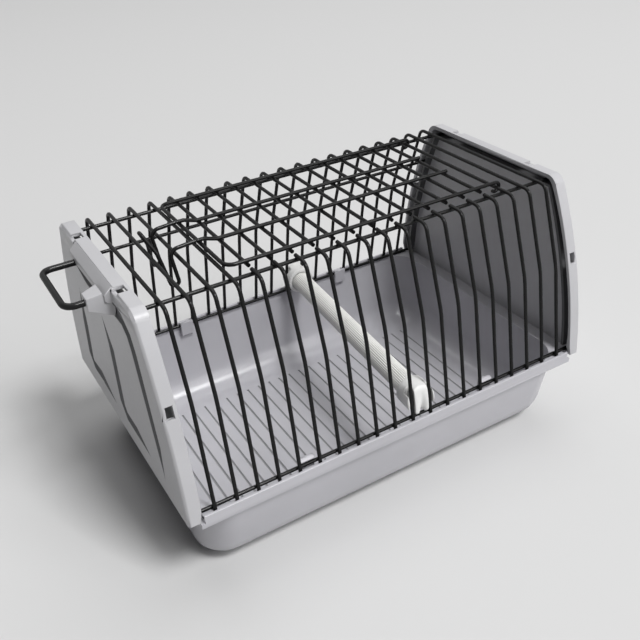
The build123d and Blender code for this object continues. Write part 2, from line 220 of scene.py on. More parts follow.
# painted shade: this darker grey stands for the shade in the tray's floor grooves
rib_shade_grey = moulded_plastic("painted shade in the floor grooves", (0.25, 0.25, 0.26), 0.5)
cap_white = moulded_plastic("white cap plastic", (0.73, 0.73, 0.72), 0.35)
perch_white = moulded_plastic("perch plastic", (0.86, 0.855, 0.83), 0.5, (1, 0.1, 1))
greys = (tray_grey, panel_grey, groove_shade_grey, wall_shade_grey, rib_shade_grey)
print("plastics:", [material.name for material in (*greys, cap_white, perch_white)])

# %% [markdown]
# ## Bending wire with Geometry Nodes
# A wire former bends straight wire round pins, so each wire is a row of straight runs
# and arcs of known radius. The tree below does the same. It takes a bare polyline
# whose points carry a bend radius, rounds each corner by it, sweeps a circle along it
# and repeats the wire by a fixed step. One tree draws every wire of the cage.


# %% Build the wire tree
def add_input(tree, name, kind, value):
    """A named input of a Geometry Nodes tree, with its default."""
    socket = tree.interface.new_socket(name, in_out="INPUT", socket_type=kind)
    socket.default_value = value


def chain(tree, *pairs):
    """Link an output to an input for each pair of sockets."""
    for source, target in pairs:
        tree.links.new(source, target)


def wire_tree():
    """A tree that bends a polyline, sweeps a wire along it and repeats the wire."""
    tree = bpy.data.node_groups.new("formed wire", "GeometryNodeTree")
    tree.interface.new_socket("Geometry", in_out="INPUT", socket_type="NodeSocketGeometry")
    add_input(tree, "Wire Diameter", "NodeSocketFloat", 2 * MM)
    add_input(tree, "Step", "NodeSocketVector", (0, 0, 0))
    add_input(tree, "Count", "NodeSocketInt", 1)
    add_input(tree, "Faces Round", "NodeSocketInt", 12)
    add_input(tree, "Faces Per Bend", "NodeSocketInt", 8)
    add_input(tree, "Finish", "NodeSocketMaterial", None)
    tree.interface.new_socket("Geometry", in_out="OUTPUT", socket_type="NodeSocketGeometry")
    given = add_node(tree, "NodeGroupInput").outputs
    line = add_node(tree, "GeometryNodeMeshToCurve")
    bend = add_node(tree, "GeometryNodeInputNamedAttribute", {"Name": "bend_radius"})
    fillet = add_node(tree, "GeometryNodeFilletCurve", mode="POLY")
    fillet.inputs["Limit Radius"].default_value = True
    half = add_node(tree, "ShaderNodeMath", {1: 0.5}, operation="MULTIPLY")
    ring = add_node(tree, "GeometryNodeCurvePrimitiveCircle", mode="RADIUS")
    tube = add_node(tree, "GeometryNodeCurveToMesh", {"Fill Caps": True})
    places = add_node(tree, "GeometryNodeMeshLine", mode="OFFSET")
    copies = add_node(tree, "GeometryNodeInstanceOnPoints")
    real = add_node(tree, "GeometryNodeRealizeInstances")
    smooth = add_node(tree, "GeometryNodeSetShadeSmooth")
    paint = add_node(tree, "GeometryNodeSetMaterial")
    result = add_node(tree, "NodeGroupOutput")
    chain(
        tree,
        (given["Geometry"], line.inputs["Mesh"]),
        (line.outputs["Curve"], fillet.inputs["Curve"]),
        (bend.outputs["Attribute"], fillet.inputs["Radius"]),
        (given["Faces Per Bend"], fillet.inputs["Count"]),
        (fillet.outputs["Curve"], tube.inputs["Curve"]),
        (given["Wire Diameter"], half.inputs[0]),
        (half.outputs["Value"], ring.inputs["Radius"]),
        (given["Faces Round"], ring.inputs["Resolution"]),
        (ring.outputs["Curve"], tube.inputs["Profile Curve"]),
        (given["Count"], places.inputs["Count"]),
        (given["Step"], places.inputs["Offset"]),
        (places.outputs["Mesh"], copies.inputs["Points"]),
        (tube.outputs["Mesh"], copies.inputs["Instance"]),
        (copies.outputs["Instances"], real.inputs["Geometry"]),
        (real.outputs["Geometry"], smooth.inputs["Geometry"]),
        (smooth.outputs["Geometry"], paint.inputs["Geometry"]),
        (given["Finish"], paint.inputs["Material"]),
        (paint.outputs["Geometry"], result.inputs["Geometry"]),
    )
    return tree


formed_wire = wire_tree()
print("nodes in the wire tree:", len(formed_wire.nodes))

# %% [markdown]
# The tree works on a small object that holds only the polyline. A modifier input is set
# by its socket's identifier before anything is evaluated. Then the result is taken as
# a plain mesh, and the helper object goes away.


# %% Run a tree and keep its mesh
wire_d = 2.0
end_taper = 0.25  # mm over which a cut end narrows
end_width = 0.72  # of the wire's full width


def grow(tree, seed_mesh, values):
    """Run a Geometry Nodes tree on a mesh and return the result as a plain mesh."""
    holder = bpy.data.objects.new("seed", seed_mesh)
    bpy.context.scene.collection.objects.link(holder)
    modifier = holder.modifiers.new("grow", "NODES")
    modifier.node_group = tree
    for item in tree.interface.items_tree:
        if item.item_type == "SOCKET" and item.in_out == "INPUT" and item.name in values:
            modifier[item.identifier] = values[item.name]
    holder.update_tag()
    shape = holder.evaluated_get(bpy.context.evaluated_depsgraph_get())
    mesh = bpy.data.meshes.new_from_object(shape)
    holder.modifiers.remove(modifier)
    bpy.data.objects.remove(holder)
    return mesh


def wire_line(points, bends):
    """Polyline mesh in metres: each point carries its bend radius and a wire width."""
    first, *inner, last = [Vector(p) * MM for p in points]
    start_step = ((inner or [last])[0] - first).normalized() * end_taper * MM
    end_step = ((inner or [first])[-1] - last).normalized() * end_taper * MM
    places = [first, first + start_step, *inner, last + end_step, last]
    radii = [0, 0, *bends, 0, 0]
    widths = [end_width, *([1] * (len(places) - 2)), end_width]
    mesh = bpy.data.meshes.new("line")
    mesh.from_pydata(places, [(i, i + 1) for i in range(len(places) - 1)], [])
    bend = mesh.attributes.new("bend_radius", "FLOAT", "POINT")
    width = mesh.attributes.new("radius", "FLOAT", "POINT")
    for index in range(len(places)):
        bend.data[index].value = radii[index] * MM
        width.data[index].value = widths[index]
    return mesh


def formed(points, bends, diameter=wire_d, step=(0, 0, 0), count=1, finish=cage_black, faces=12):
    """One wire, or a row of equal wires, given in millimetres."""
    values = {
        "Wire Diameter": diameter * MM,
        "Step": [v * MM for v in step],
        "Count": count,
        "Faces Round": faces,
        "Finish": finish,
    }
    return grow(formed_wire, wire_line(points, bends), values)


def gather(name, meshes, finish, body, slot, *replaced):
    """Join meshes into one finished piece that rides a body and stands for CAD nodes."""
    joined = bmesh.new()
    for mesh in meshes:
        joined.from_mesh(mesh)
    whole = bpy.data.meshes.new(name)
    joined.to_mesh(whole)
    joined.free()
    whole.materials.append(finish)
    whole.shade_smooth()
    piece = bpy.data.objects.new(name, whole)
    bpy.context.scene.collection.objects.link(piece)
    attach(piece, body)
    if replaced:
        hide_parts(*replaced)
    print(name, "has", len(whole.polygons), "faces")
    return piece


# %% [markdown]
# ## The cage wires
# Every side wire stands on the tray's ledge, leans in, kinks a little at mid height and
# bends over the roof. Beside the door the wires are whole hoops. Across the door
# opening they stop at the inner edge of the long roof rails. Twenty wires could be
# modelled one by one, but they are equal and evenly spaced, so one line and a step draw
# each row. The kink is so slight that its radius matters more than its angle, and it
# gets a large one.

# %% Write down the cage's measures
pitch = 11.5
wire_count = 20
door_first, door_last = 5, 17  # the wires that the door opening cuts
tray_top = 48.8
roof_z = 147.5
foot = (79.0, tray_top)  # y and z, as for the next three
kink = (69.5, 104.0)
roof_corner = (54.5, roof_z)
top_rail = (46.0, 145.5)
kink_bend = 45.0
roof_bend = 5.0
rail_end = 121.8
low_lean = atan2(foot[0] - kink[0], kink[1] - foot[1])
high_lean = atan2(kink[0] - roof_corner[0], roof_corner[1] - kink[1])


def wire_x(number):
    """Place of a cage wire along the cage, counted from the left."""
    return (number - (wire_count + 1) / 2) * pitch


def wall_y(z):
    """Distance of a side wire from the middle plane at a height."""
    low, high = (foot, kink) if z < kink[1] else (kink, roof_corner)
    return low[0] + (high[0] - low[0]) * (z - low[1]) / (high[1] - low[1])


print("first wire at", wire_x(1), "mm, last at", wire_x(wire_count), "mm")


# %% Form the hoops and the cut wires
def side_points(x, side):
    """Foot, kink and roof corner of one side of a wire."""
    bottom = tray_top + wire_d / 2 * sin(low_lean)
    line = [(wall_y(bottom), bottom), kink, roof_corner]
    return [(x, side * y, z) for y, z in line]


side_bends = [kink_bend, roof_bend]
cage_meshes = []
for first, count in ((1, door_first - 1), (door_last + 1, wire_count - door_last)):
    x = wire_x(first)
    hoop = side_points(x, -1) + side_points(x, 1)[::-1]
    bends = side_bends + side_bends[::-1]
    cage_meshes.append(formed(hoop, bends, step=(pitch, 0, 0), count=count))
stub_y = top_rail[0] - wire_d / 2
x = wire_x(door_first)
door_wires = door_last - door_first + 1
for side in (-1, 1):
    cut_wire = side_points(x, side) + [(x, side * stub_y, roof_z)]
    cage_meshes.append(formed(cut_wire, side_bends, step=(pitch, 0, 0), count=door_wires))
print("rows of side wires:", len(cage_meshes), "with", door_wires, "wires in each cut row")

# %% [markdown]
# Five long rails run inside the wires and are welded to each of them: two at the feet,
# two under the roof and one behind at mid height. They reach into both end panels.

# %% Lay the rails
bottom_rail_z = 50.0
bottom_rail_y = wall_y(bottom_rail_z) - wire_d / cos(low_lean)
middle_rail_z = 122.6
middle_rail_y = wall_y(middle_rail_z) - wire_d / cos(high_lean)
rail_places = [
    (-bottom_rail_y, bottom_rail_z),
    (bottom_rail_y, bottom_rail_z),
    (-top_rail[0], top_rail[1]),
    top_rail,
    (middle_rail_y, middle_rail_z),
]
for y, z in rail_places:
    cage_meshes.append(formed([(-rail_end, y, z), (rail_end, y, z)], []))
hoop_nodes = [name for name in nodes if name.startswith("body_wire_")]
front_nodes = [f"front_wire_{n:02d}" for n in range(door_first, door_last + 1)]
rail_nodes = [name for name in nodes if name.endswith("_rail")]
gather(
    "cage_wires",
    cage_meshes,
    cage_black,
    "base",
    "cage_wire",
    *hoop_nodes,
    *front_nodes,
    *rail_nodes,
    "rear_cut_wires",
)

# %% [markdown]
# ## The roof door
# One wire makes the frame: a long U whose two ends curl round a cage wire as hinges.
# Thirteen cross bars are welded under it in line with the cut cage wires, and two
# stays lie on the bars and step up over the frame's free side. A curl could be a ready
# torus, but as four more corners of the frame's own line it joins without a seam.

# %% Form the door
hinge_ring = 2.5
door_z = roof_z + hinge_ring
door_y = 40.7
hinge_x = wire_x(door_last + 1)
door_left_x = wire_x(door_first - 1) + wire_d / 2
eighth_turn = 0.41421  # tangent of 22.5 degrees, for the corners of an octagon
curl_end = hinge_ring * eighth_turn
frame_bend = 5.0
bar_overhang = 1.5


def hinge_curl(side):
    """Corner points of an open eye round the hinge wire."""
    around = [
        (-curl_end * (1 + cos(pi / 4)), -hinge_ring + curl_end * sin(pi / 4)),
        (-curl_end, -hinge_ring),
        (hinge_ring, -hinge_ring),
        (hinge_ring, hinge_ring),
    ]
    return [(hinge_x + along, side * door_y, roof_z + up) for along, up in around]


curl_bends = 3 * [hinge_ring]
free_corners = [(door_left_x, door_y, door_z), (door_left_x, -door_y, door_z)]
frame_points = hinge_curl(1) + free_corners + hinge_curl(-1)[::-1]
door_meshes = [formed(frame_points, curl_bends + [frame_bend, frame_bend] + curl_bends)]
bar_y = door_y + bar_overhang
bar_z = door_z - wire_d
bar = [(wire_x(door_first), -bar_y, bar_z), (wire_x(door_first), bar_y, bar_z)]
door_meshes.append(formed(bar, [], step=(pitch, 0, 0), count=door_wires))
stay_y = 12.4
step_z = door_z + wire_d
stay_left_x = door_left_x - wire_d
stay = [
    (wire_x(door_last) + wire_d / 2, -stay_y, door_z),
    (wire_x(door_first) - wire_d, -stay_y, door_z),
    (door_left_x + wire_d, -stay_y, step_z),
    (stay_left_x, -stay_y, step_z),
]
door_meshes.append(formed(stay, [wire_d, wire_d], step=(0, 2 * stay_y, 0), count=2))
bar_nodes = [f"door_bar_{n:02d}" for n in range(door_first, door_last + 1)]
gather(
    "door_wires",
    door_meshes,
    cage_black,
    "door",
    "door_wire",
    *bar_nodes,
    "door_frame",
    "front_door_stay",
    "rear_door_stay",
)

# %% [markdown]
# ## The spring latch
# The latch is one piece of springy wire. From each stay it drops behind a cage wire in
# an S, hooks forward under it, and rises again to a finger tab where both arms meet.
# Both arms come from one function, so they mirror each other, and the whole loop is a
# single line, as the real one is.

# %% Form the latch
catch_x = wire_x(door_first - 2)  # the wire that the hooks grip
latch_gap, latch_clearance = 0.4, 0.9
latch_root_x = stay_left_x - latch_gap
latch_pass = wire_d + latch_clearance  # from the catch wire to the arm beside it
hook_drop, hook_bulge, hook_width = 15.4, 0.6, 4.2
leg_reach = 7.6
tab_reach, tab_rise = 14.0, 13.4
shoulder_bend, hook_bend, tab_bend = 4.0, 1.9, 2.5


def latch_arm(side):
    """Corner points of one arm, from its root on the door to the finger tab."""
    return [
        (latch_root_x, side * stay_y, step_z),
        (catch_x - latch_pass, side * stay_y, step_z - wire_d / 2),
        (catch_x - latch_pass, side * stay_y, roof_z - wire_d / 2),
        (catch_x - hook_bulge, side * stay_y, roof_z - hook_drop),
        (catch_x - hook_bulge - hook_width, side * stay_y, roof_z - hook_drop),
        (catch_x - leg_reach, side * stay_y / 2, roof_z + wire_d / 4),
    ]


tab_tip = (catch_x - tab_reach, 0, roof_z + tab_rise)
latch_points = latch_arm(1) + [tab_tip] + latch_arm(-1)[::-1]
arm_bends = [shoulder_bend, 2 * shoulder_bend, hook_bend, hook_bend, 2 * shoulder_bend]
latch_mesh = formed(latch_points, arm_bends + [tab_bend] + arm_bends[::-1])
gather("latch_wire", [latch_mesh], cage_black, "latch", "door_wire", "latch_loop")

# %% [markdown]
# ## The handle
# A thicker wire, bent into a U and pushed into two holes of the left panel. It is short
# and seen close up, so it gets more faces round than the cage wires have.

# %% Form the handle
handle_y = 20.2
handle_z = 142.0
handle_x = -143.5
handle_root_x = -122.9
handle_d, handle_bend = 3.2, 5.0
handle_points = [
    (handle_root_x, -handle_y, handle_z),
    (handle_x, -handle_y, handle_z),
    (handle_x, handle_y, handle_z),
    (handle_root_x, handle_y, handle_z),
]
handle_bends = [handle_bend, handle_bend]
handle_mesh = formed(handle_points, handle_bends, handle_d, finish=handle_black, faces=20)
gather("handle_wire", [handle_mesh], handle_black, "base", "handle_wire", "end_handle")

# %% [markdown]
# ## Weld beads
# Where two wires cross, a current melts them together and a little metal swells out at
# the joint, under the coating. Without it the wires would seem only to touch. Each
# crossing gets a small bead, turned and sized at random with a fixed seed. The beads are
# instances on the crossing points, so a list of points is all that a grid needs.


# %% Build the bead tree
def bead_tree():
    """A tree that puts an uneven bead on every point of a mesh."""
    tree = bpy.data.node_groups.new("weld beads", "GeometryNodeTree")
    tree.interface.new_socket("Geometry", in_out="INPUT", socket_type="NodeSocketGeometry")
    add_input(tree, "Bead Radius", "NodeSocketFloat", 1 * MM)
    add_input(tree, "Seed", "NodeSocketInt", 4)
    add_input(tree, "Finish", "NodeSocketMaterial", None)
    tree.interface.new_socket("Geometry", in_out="OUTPUT", socket_type="NodeSocketGeometry")
    given = add_node(tree, "NodeGroupInput").outputs
    ball = add_node(tree, "GeometryNodeMeshUVSphere", {"Segments": 8, "Rings": 6})
    size = add_node(tree, "FunctionNodeRandomValue", data_type="FLOAT_VECTOR")
    size.inputs["Min"].default_value = (0.8, 0.8, 0.8)
    size.inputs["Max"].default_value = (1.15, 1.15, 1.05)
    spin = add_node(tree, "FunctionNodeRandomValue", data_type="FLOAT_VECTOR")
    spin.inputs["Max"].default_value = (pi, pi, pi)
    copies = add_node(tree, "GeometryNodeInstanceOnPoints")
    real = add_node(tree, "GeometryNodeRealizeInstances")
    smooth = add_node(tree, "GeometryNodeSetShadeSmooth")
    paint = add_node(tree, "GeometryNodeSetMaterial")
    result = add_node(tree, "NodeGroupOutput")
    chain(
        tree,
        (given["Bead Radius"], ball.inputs["Radius"]),
        (given["Seed"], size.inputs["Seed"]),
        (given["Seed"], spin.inputs["Seed"]),
        (given["Geometry"], copies.inputs["Points"]),
        (ball.outputs["Mesh"], copies.inputs["Instance"]),
        (size.outputs["Value"], copies.inputs["Scale"]),
        (spin.outputs["Value"], copies.inputs["Rotation"]),
        (copies.outputs["Instances"], real.inputs["Geometry"]),
        (real.outputs["Geometry"], smooth.inputs["Geometry"]),
        (smooth.outputs["Geometry"], paint.inputs["Geometry"]),
        (given["Finish"], paint.inputs["Material"]),
        (paint.outputs["Geometry"], result.inputs["Geometry"]),
    )
    return tree


welds = bead_tree()
bead_radius = 0.95


def beads(points, seed):
    """Weld beads at points given in millimetres."""
    mesh = bpy.data.meshes.new("crossings")
    mesh.from_pydata([Vector(p) * MM for p in points], [], [])
    return grow(welds, mesh, {"Bead Radius": bead_radius * MM, "Seed": seed, "Finish": cage_black})


print("nodes in the bead tree:", len(welds.nodes))


# %% Weld the cage
low_y = (wall_y(bottom_rail_z) + bottom_rail_y) / 2
middle_y = (wall_y(middle_rail_z) + middle_rail_y) / 2
crossings = []
for number in range(1, wire_count + 1):
    x = wire_x(number)
    crossings += [(x, side * low_y, bottom_rail_z) for side in (-1, 1)]
    crossings += [(x, side * top_rail[0], (roof_z + top_rail[1]) / 2) for side in (-1, 1)]
    crossings.append((x, middle_y, middle_rail_z))
gather("cage_weld_beads", [beads(crossings, seed=4)], cage_black, "base", "cage_wire")

# %% Weld the door
door_crossings = []
for number in range(door_first, door_last + 1):
    x = wire_x(number)
    for y in (-door_y, -stay_y, stay_y, door_y):
        door_crossings.append((x, y, (door_z + bar_z) / 2))
for y in (-stay_y, stay_y):
    door_crossings.append((door_left_x, y, (door_z + step_z) / 2))
gather("door_weld_beads", [beads(door_crossings, seed=9)], cage_black, "door", "door_wire")


# %% [markdown]
# ## Soft edges on the mouldings
# No moulding has a knife edge: the mould's own edges are broken by a few tenths of a
# millimetre, and those small rounds catch the light. The CAD solids have sharp edges,
# so each is copied, its loose triangles are merged into clean faces, and a bevel rounds
# its real edges. A weighted normal keeps the flats flat. Long shallow bands, which stand
# for one smooth curve, are only shaded smooth.

# %% Define the soft edge
merge_distance = 0.002
flat_angle = radians(0.6)  # faces that differ by less become one
sharp_angle = radians(28.0)  # an edge past this is a real one


def softened(node_name, piece_name, body, materials, reshape, paint, width, shortest):
    """A copy of a CAD node. Edges past the shortest are rounded by a width, both in mm."""
    copy = nodes[node_name].data.copy()
    copy.name = piece_name
    copy.materials.clear()
    for material in materials:
        copy.materials.append(material)
    work = bmesh.new()
    work.from_mesh(copy)
    bmesh.ops.remove_doubles(work, verts=work.verts, dist=merge_distance * MM)
    bmesh.ops.dissolve_limit(
        work, angle_limit=flat_angle, verts=work.verts, edges=work.edges, delimit={"NORMAL"}
    )
    for vertex in work.verts:
        vertex.co = reshape(vertex.co / MM) * MM
    work.normal_update()
    weight = work.edges.layers.float.new("bevel_weight_edge")
    rounded = 0
    for edge in work.edges:
        edge.smooth = True
        if len(edge.link_faces) == 2 and edge.calc_face_angle(0) > sharp_angle:
            if edge.calc_length() > shortest * MM:
                edge[weight] = 1.0
                rounded += 1
            else:
                edge.smooth = False
    for face in work.faces:
        face.smooth = True
        # groove faces get the second finish, which is painted shade
        face.material_index = paint([vertex.co / MM for vertex in face.verts])
    work.to_mesh(copy)
    work.free()
    piece = bpy.data.objects.new(piece_name, copy)
    bpy.context.scene.collection.objects.link(piece)
    bevel = piece.modifiers.new("soft edge", "BEVEL")
    bevel.limit_method = "WEIGHT"
    bevel.width = width * MM
    bevel.segments = 3
    bevel.use_clamp_overlap = False
    normals = piece.modifiers.new("flat faces", "WEIGHTED_NORMAL")
    normals.keep_sharp = True
    normals.weight = 80
    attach(piece, body)
    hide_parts(node_name)
    # count the faces that carry painted shade
    painted_shade = sum(1 for face in copy.polygons if face.material_index)
    print(piece_name, "has", len(copy.polygons), "faces,", painted_shade, "of them grimy")
    print(piece_name, "has", rounded, "rounded edges")


# %% [markdown]
# The panels and the tray differ from their solids in a few small ways. The turned-in
# edge of a panel reaches a little further over the cage, its snap windows are wider and
# those in its top deeper, and its grooves are wider. The pad above the handle slopes,
# the boss in front of it is slimmer, and the grooves in the tray's floor are wider at
# their mouths. The mouldings could be built again, but moving a few corner points keeps
# every other measure. So a function tells each point by its place and moves it.

# %% Write down what is reshaped
tolerance = 0.05
rim_x, rim_new_x = 118.0, 116.5
window_x, window_new_x = 119.4, 118.2
panel_bottom, panel_top, panel_crown = 52.0, 146.5, 150.0
dip_floor, deeper_dip = 148.8, 0.9
pad_x, pad_z, pad_drop = -126.5, 148.0, 3.2
boss_y, boss_z, boss_shrink = -20.2, 142.0, 0.72
boss_half_y, boss_half_z, boss_hole = 6.1, 5.9, 2.0
boss_root_x, boss_length, boss_foot = -124.0, 10.5, 0.2
outline_spots = [(47.6, 81.8), (99.4, 73.1), (panel_crown, 53.5)]  # height and half depth
groove_lines = [  # y and height above the tray's top
    [(36, 86), (20, 85), (4, 85), (-21, 89), (-36, 89), (-43, 84), (-46, 77), (-55, 30), (-57, 9)],
    [(0, 70), (-4.5, 56), (-3, 20), (-7, 14.5), (-22, 13.5), (-38.5, 10)],
    [(39, 69), (44, 45), (49, 20), (46, 15.5), (31, 16), (12, 12.5)],
]
below_groove_x, below_face_x, above_face_x = 122.6, 123.9, 124.05
groove_near, groove_far = 0.3, 2.9  # from the line to a groove's corner
wider_at_face, wider_at_floor = 1.7, 1.5
reshape_margin, paint_margin = 3, 4  # kept clear inside the outline
floor_z, floor_tolerance = 2.0, 0.02
rib_pitch, rib_half, rib_reach, rib_wider = 7.75, 0.35, 52.0, 0.3
rib_low_z, rib_high_z = 1.3, 1.9


def edge_y(z):
    """Half depth of a panel's outline at a height: a curve through three known points."""
    total = 0.0
    for z0, y0 in outline_spots:
        z1, z2 = (height for height, _ in outline_spots if height != z0)
        total += y0 * (z - z1) * (z - z2) / ((z0 - z1) * (z0 - z2))
    return total


print("panel half depth at mid height:", round(edge_y(100.0), 1), "mm")


# %% Say how the mouldings are reshaped
def widened(y, z, extra):
    """Move a corner of a groove away from the groove's centre line."""
    spot = Vector((y, z - tray_top))
    best = None
    for line in groove_lines:
        for start, end in zip(line, line[1:]):
            start, end = Vector(start), Vector(end)
            along = (spot - start).dot(end - start) / (end - start).length_squared
            nearest = start + (end - start) * min(1.0, max(0.0, along))
            if best is None or (spot - nearest).length < (spot - best).length:
                best = nearest
    away = spot - best
    if groove_near < away.length < groove_far:
        spot += away.normalized() * extra
    return spot.x, spot.y + tray_top


def panel_reshape(point):
    """The new place of a panel's corner point."""
    x, y, z = point
    if abs(abs(x) - rim_x) < tolerance and z > panel_bottom:
        x = copysign(rim_new_x, x)
    elif abs(abs(x) - window_x) < tolerance:
        x = copysign(window_new_x, x)
    if abs(z - dip_floor) < tolerance:
        z -= deeper_dip
    if x < pad_x and z > pad_z:
        z -= pad_drop
    in_boss = abs(y - boss_y) < boss_half_y and abs(z - boss_z) < boss_half_z
    if x < boss_root_x - boss_foot and in_boss and hypot(y - boss_y, z - boss_z) > boss_hole:
        shrink = 1 - (1 - boss_shrink) * (boss_root_x - x) / boss_length
        y = boss_y + (y - boss_y) * shrink
        z = boss_z + (z - boss_z) * shrink
    inside = z < panel_top and abs(y) < edge_y(z) - reshape_margin
    if inside and below_groove_x < abs(x) < above_face_x:
        y, z = widened(y, z, wider_at_face if abs(x) > below_face_x else wider_at_floor)
    return Vector((x, y, z))


def tray_reshape(point):
    """The new place of a tray's corner point."""
    offset = point.x - round(point.x / rib_pitch) * rib_pitch
    on_floor = abs(point.z - floor_z) < floor_tolerance and abs(point.y) < rib_reach
    if on_floor and abs(abs(offset) - rib_half) < tolerance:
        return point + Vector((copysign(rib_wider, offset), 0, 0))
    return point


# %% [markdown]
# The grooves lie in shade, and that shade is painted: each face whose corners lie in a
# groove gets the darker finish. It could be a mask in the material, but a face knows its
# place as well.


# %% Say which faces get painted shade
def panel_shade_mask(corners):
    """1 for a face of a groove, which gets painted shade, 0 for the rest of the panel."""
    depths = [abs(p.x) for p in corners]
    inside = all(abs(p.y) < edge_y(p.z) - paint_margin and p.z < panel_top for p in corners)
    in_groove = below_groove_x < min(depths) < below_face_x and max(depths) < above_face_x
    return 1 if inside and in_groove else 0


def tray_shade_mask(corners):
    """1 for a face of a groove in the tray's floor, which gets painted shade, 0 for the rest of
    the tray.
    """
    heights = [p.z for p in corners]
    in_groove = rib_low_z < min(heights) < rib_high_z
    return 1 if in_groove and max(heights) < floor_z + floor_tolerance else 0


# %% Soften the tray and the panels
softened(
    "tray",
    "moulded_tray",
    "base",
    # the second finish paints shade into the floor grooves
    materials=[tray_grey, rib_shade_grey],
    reshape=tray_reshape,
    paint=tray_shade_mask,
    width=0.3,
    shortest=3.0,
)
for end in ("left", "right"):
    softened(
        f"{end}_end_panel",
        f"{end}_panel",
        "base",
        # the second finish paints shade into the panel grooves
        materials=[panel_grey, groove_shade_grey],
        reshape=panel_reshape,
        paint=panel_shade_mask,
        width=0.45,
        shortest=2.6,
    )

# %% [markdown]
# Inside the turned-in edge each panel has a second wall round the cage's end. Its near
# black finish paints the shade in the channel between it and the edge. It follows the
# panel's outline at a fixed distance. A short tree sweeps a rectangle along that outline,
# much as the other tree sweeps a circle along a wire.


# %% Build the wall tree
def bar_tree():
    """A tree that sweeps an upright rectangle along a polyline."""
    tree = bpy.data.node_groups.new("swept wall", "GeometryNodeTree")
    tree.interface.new_socket("Geometry", in_out="INPUT", socket_type="NodeSocketGeometry")
    add_input(tree, "Thickness", "NodeSocketFloat", 2 * MM)
    add_input(tree, "Height", "NodeSocketFloat", 4 * MM)
    add_input(tree, "Finish", "NodeSocketMaterial", None)
    tree.interface.new_socket("Geometry", in_out="OUTPUT", socket_type="NodeSocketGeometry")
    given = add_node(tree, "NodeGroupInput").outputs
    line = add_node(tree, "GeometryNodeMeshToCurve")
    upright = add_node(tree, "GeometryNodeSetCurveNormal", mode="Z_UP")
    section = add_node(tree, "GeometryNodeCurvePrimitiveQuadrilateral")
    wall = add_node(tree, "GeometryNodeCurveToMesh", {"Fill Caps": True})
    paint = add_node(tree, "GeometryNodeSetMaterial")
    result = add_node(tree, "NodeGroupOutput")
    chain(
        tree,
        (given["Geometry"], line.inputs["Mesh"]),
        (line.outputs["Curve"], upright.inputs["Curve"]),
        (given["Height"], section.inputs["Width"]),
        (given["Thickness"], section.inputs["Height"]),
        (upright.outputs["Curve"], wall.inputs["Curve"]),
        (section.outputs["Curve"], wall.inputs["Profile Curve"]),
        (wall.outputs["Mesh"], paint.inputs["Geometry"]),
        (given["Finish"], paint.inputs["Material"]),
        (paint.outputs["Geometry"], result.inputs["Geometry"]),
    )
    return tree


swept_wall = bar_tree()
print("nodes in the wall tree:", len(swept_wall.nodes))

# %% Put a wall in each panel
wall_inset, wall_thick = 6.6, 1.8
wall_front_x, wall_back_x = 117.2, 122.4
wall_foot_z, wall_step, wall_steps = 51.6, 6.0, 16
heights = [wall_foot_z + step * wall_step for step in range(wall_steps)]
outline = [(edge_y(z) - wall_inset, z) for z in [*heights, panel_crown - wall_inset]]
arch = [(-y, z) for y, z in outline] + outline[::-1]
wall_values = {
    "Thickness": wall_thick * MM,
    "Height": (wall_back_x - wall_front_x) * MM,
    # painted shade: the wall's near-black finish
    "Finish": wall_shade_grey,
}
for end, side in (("left", -1), ("right", 1)):
    middle_x = side * (wall_front_x + wall_back_x) / 2
    line = wire_line([(middle_x, y, z) for y, z in arch], [0] * (len(arch) - 2))
    wall = grow(swept_wall, line, wall_values)
    inner_wall = gather(f"{end}_inner_wall", [wall], wall_shade_grey, "base", "panel_plastic")
    inner_wall.data.shade_flat()

# %% [markdown]
# The caps are moulded from white plastic and have no edge at all. Each solid is
# shortened where it stands out in front of the wires, turned into a fine even mesh and
# relaxed until only round shapes are left. Then its front gets the hollow between the
# two prongs, and its top leans back. Sculpting would do this too, but by hand.

# %% Round the caps
cap_tip, cap_shorten = 3.0, 4.4
voxel_size = 0.32
relax_factor, relax_rounds = 0.5, 16
front_reach = 6  # how deep behind the front the last shaping reaches
hollow_half_width, hollow_height, hollow_depth = 1.5, 14, 3.6
lean_height, lean_back = 17, 3.0


def relaxed_cap(place, side):
    """Dress a perch cap at the front or the rear, on the side -1 or 1."""
    source = nodes[f"{place}_perch_cap"].data.copy()
    outward = Vector((0, side, 0))
    tip = max(side * vertex.co.y for vertex in source.vertices)
    for vertex in source.vertices:
        if tip - side * vertex.co.y < cap_tip * MM:
            vertex.co -= outward * cap_shorten * MM
    holder = bpy.data.objects.new("cap", source)
    bpy.context.scene.collection.objects.link(holder)
    voxels = holder.modifiers.new("even mesh", "REMESH")
    voxels.mode = "VOXEL"
    voxels.voxel_size = voxel_size * MM
    relax = holder.modifiers.new("relax", "SMOOTH")
    relax.factor = relax_factor
    relax.iterations = relax_rounds
    shape = holder.evaluated_get(bpy.context.evaluated_depsgraph_get())
    mesh = bpy.data.meshes.new_from_object(shape)
    bpy.data.objects.remove(holder)
    front = max(side * vertex.co.y for vertex in mesh.vertices)
    middle = sum(vertex.co.x for vertex in mesh.vertices) / len(mesh.vertices)
    low = min(vertex.co.z for vertex in mesh.vertices)
    for vertex in mesh.vertices:
        x, depth, z = vertex.co.x - middle, front - side * vertex.co.y, vertex.co.z - low
        near = max(0.0, 1 - depth / (front_reach * MM))
        across = exp(-((x / (hollow_half_width * MM)) ** 2))
        valley = across * max(0.0, 1 - z / (hollow_height * MM))
        vertex.co -= outward * hollow_depth * MM * near * valley
        vertex.co -= outward * lean_back * MM * near * max(0.0, z / (lean_height * MM)) ** 2
    gather(f"{place}_cap", [mesh], cap_white, "perch", "cap_plastic", f"{place}_perch_cap")


for place, side in (("front", -1), ("rear", 1)):
    relaxed_cap(place, side)

